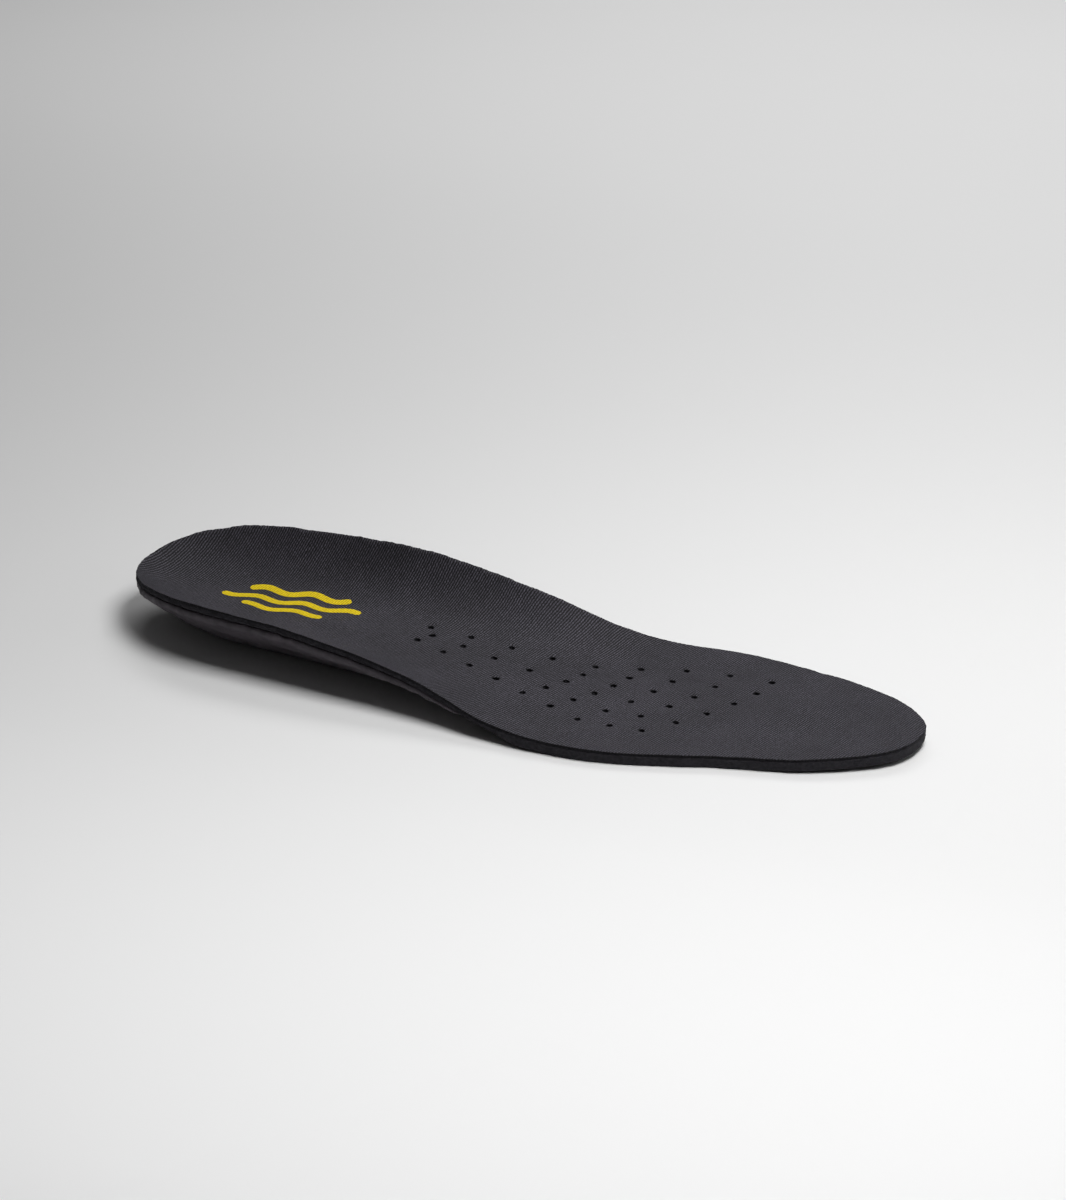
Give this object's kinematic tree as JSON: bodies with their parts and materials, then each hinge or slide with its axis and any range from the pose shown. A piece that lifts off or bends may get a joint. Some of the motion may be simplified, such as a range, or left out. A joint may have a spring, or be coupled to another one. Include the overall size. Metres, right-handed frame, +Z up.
{
  "type": "cushioned insole",
  "caption": "Right-foot cushioned insole with a perforated black twill cover on foam and a moulded cup with arch support, bending at the ball of the foot.",
  "frame": {"origin": "on the floor under the centre of the outline's box", "axes": "+X to the toe, +Y to the medial (arch) side, +Z up"},
  "size_m": [0.275, 0.0895, 0.0265],
  "materials": {
    "twill": "fine black polyester twill",
    "foam": "soft black foam, cut edge",
    "cup": "moulded black foam, fine grain",
    "pad": "grey shock-absorbing gel, satin",
    "print": "yellow transfer print"
  },
  "bodies": {
    "rearfoot": {"cloth_rear": "twill", "foam_rear": "foam", "heel_cup": "cup", "heel_pad": "pad", "print_wave_1": "print", "print_wave_2": "print", "print_wave_3": "print"},
    "forefoot": {"cloth_front": "twill", "foam_front": "foam"}
  },
  "joints": [
    {"name": "ball_flex", "type": "hinge", "parent": "rearfoot", "child": "forefoot", "pos_m": [0.0495, 0, 0.0044], "axis": [-0.4067, -0.9135, 0], "range_deg": [0, 45], "stiffness_Nm_per_rad": 0.03}
  ]
}
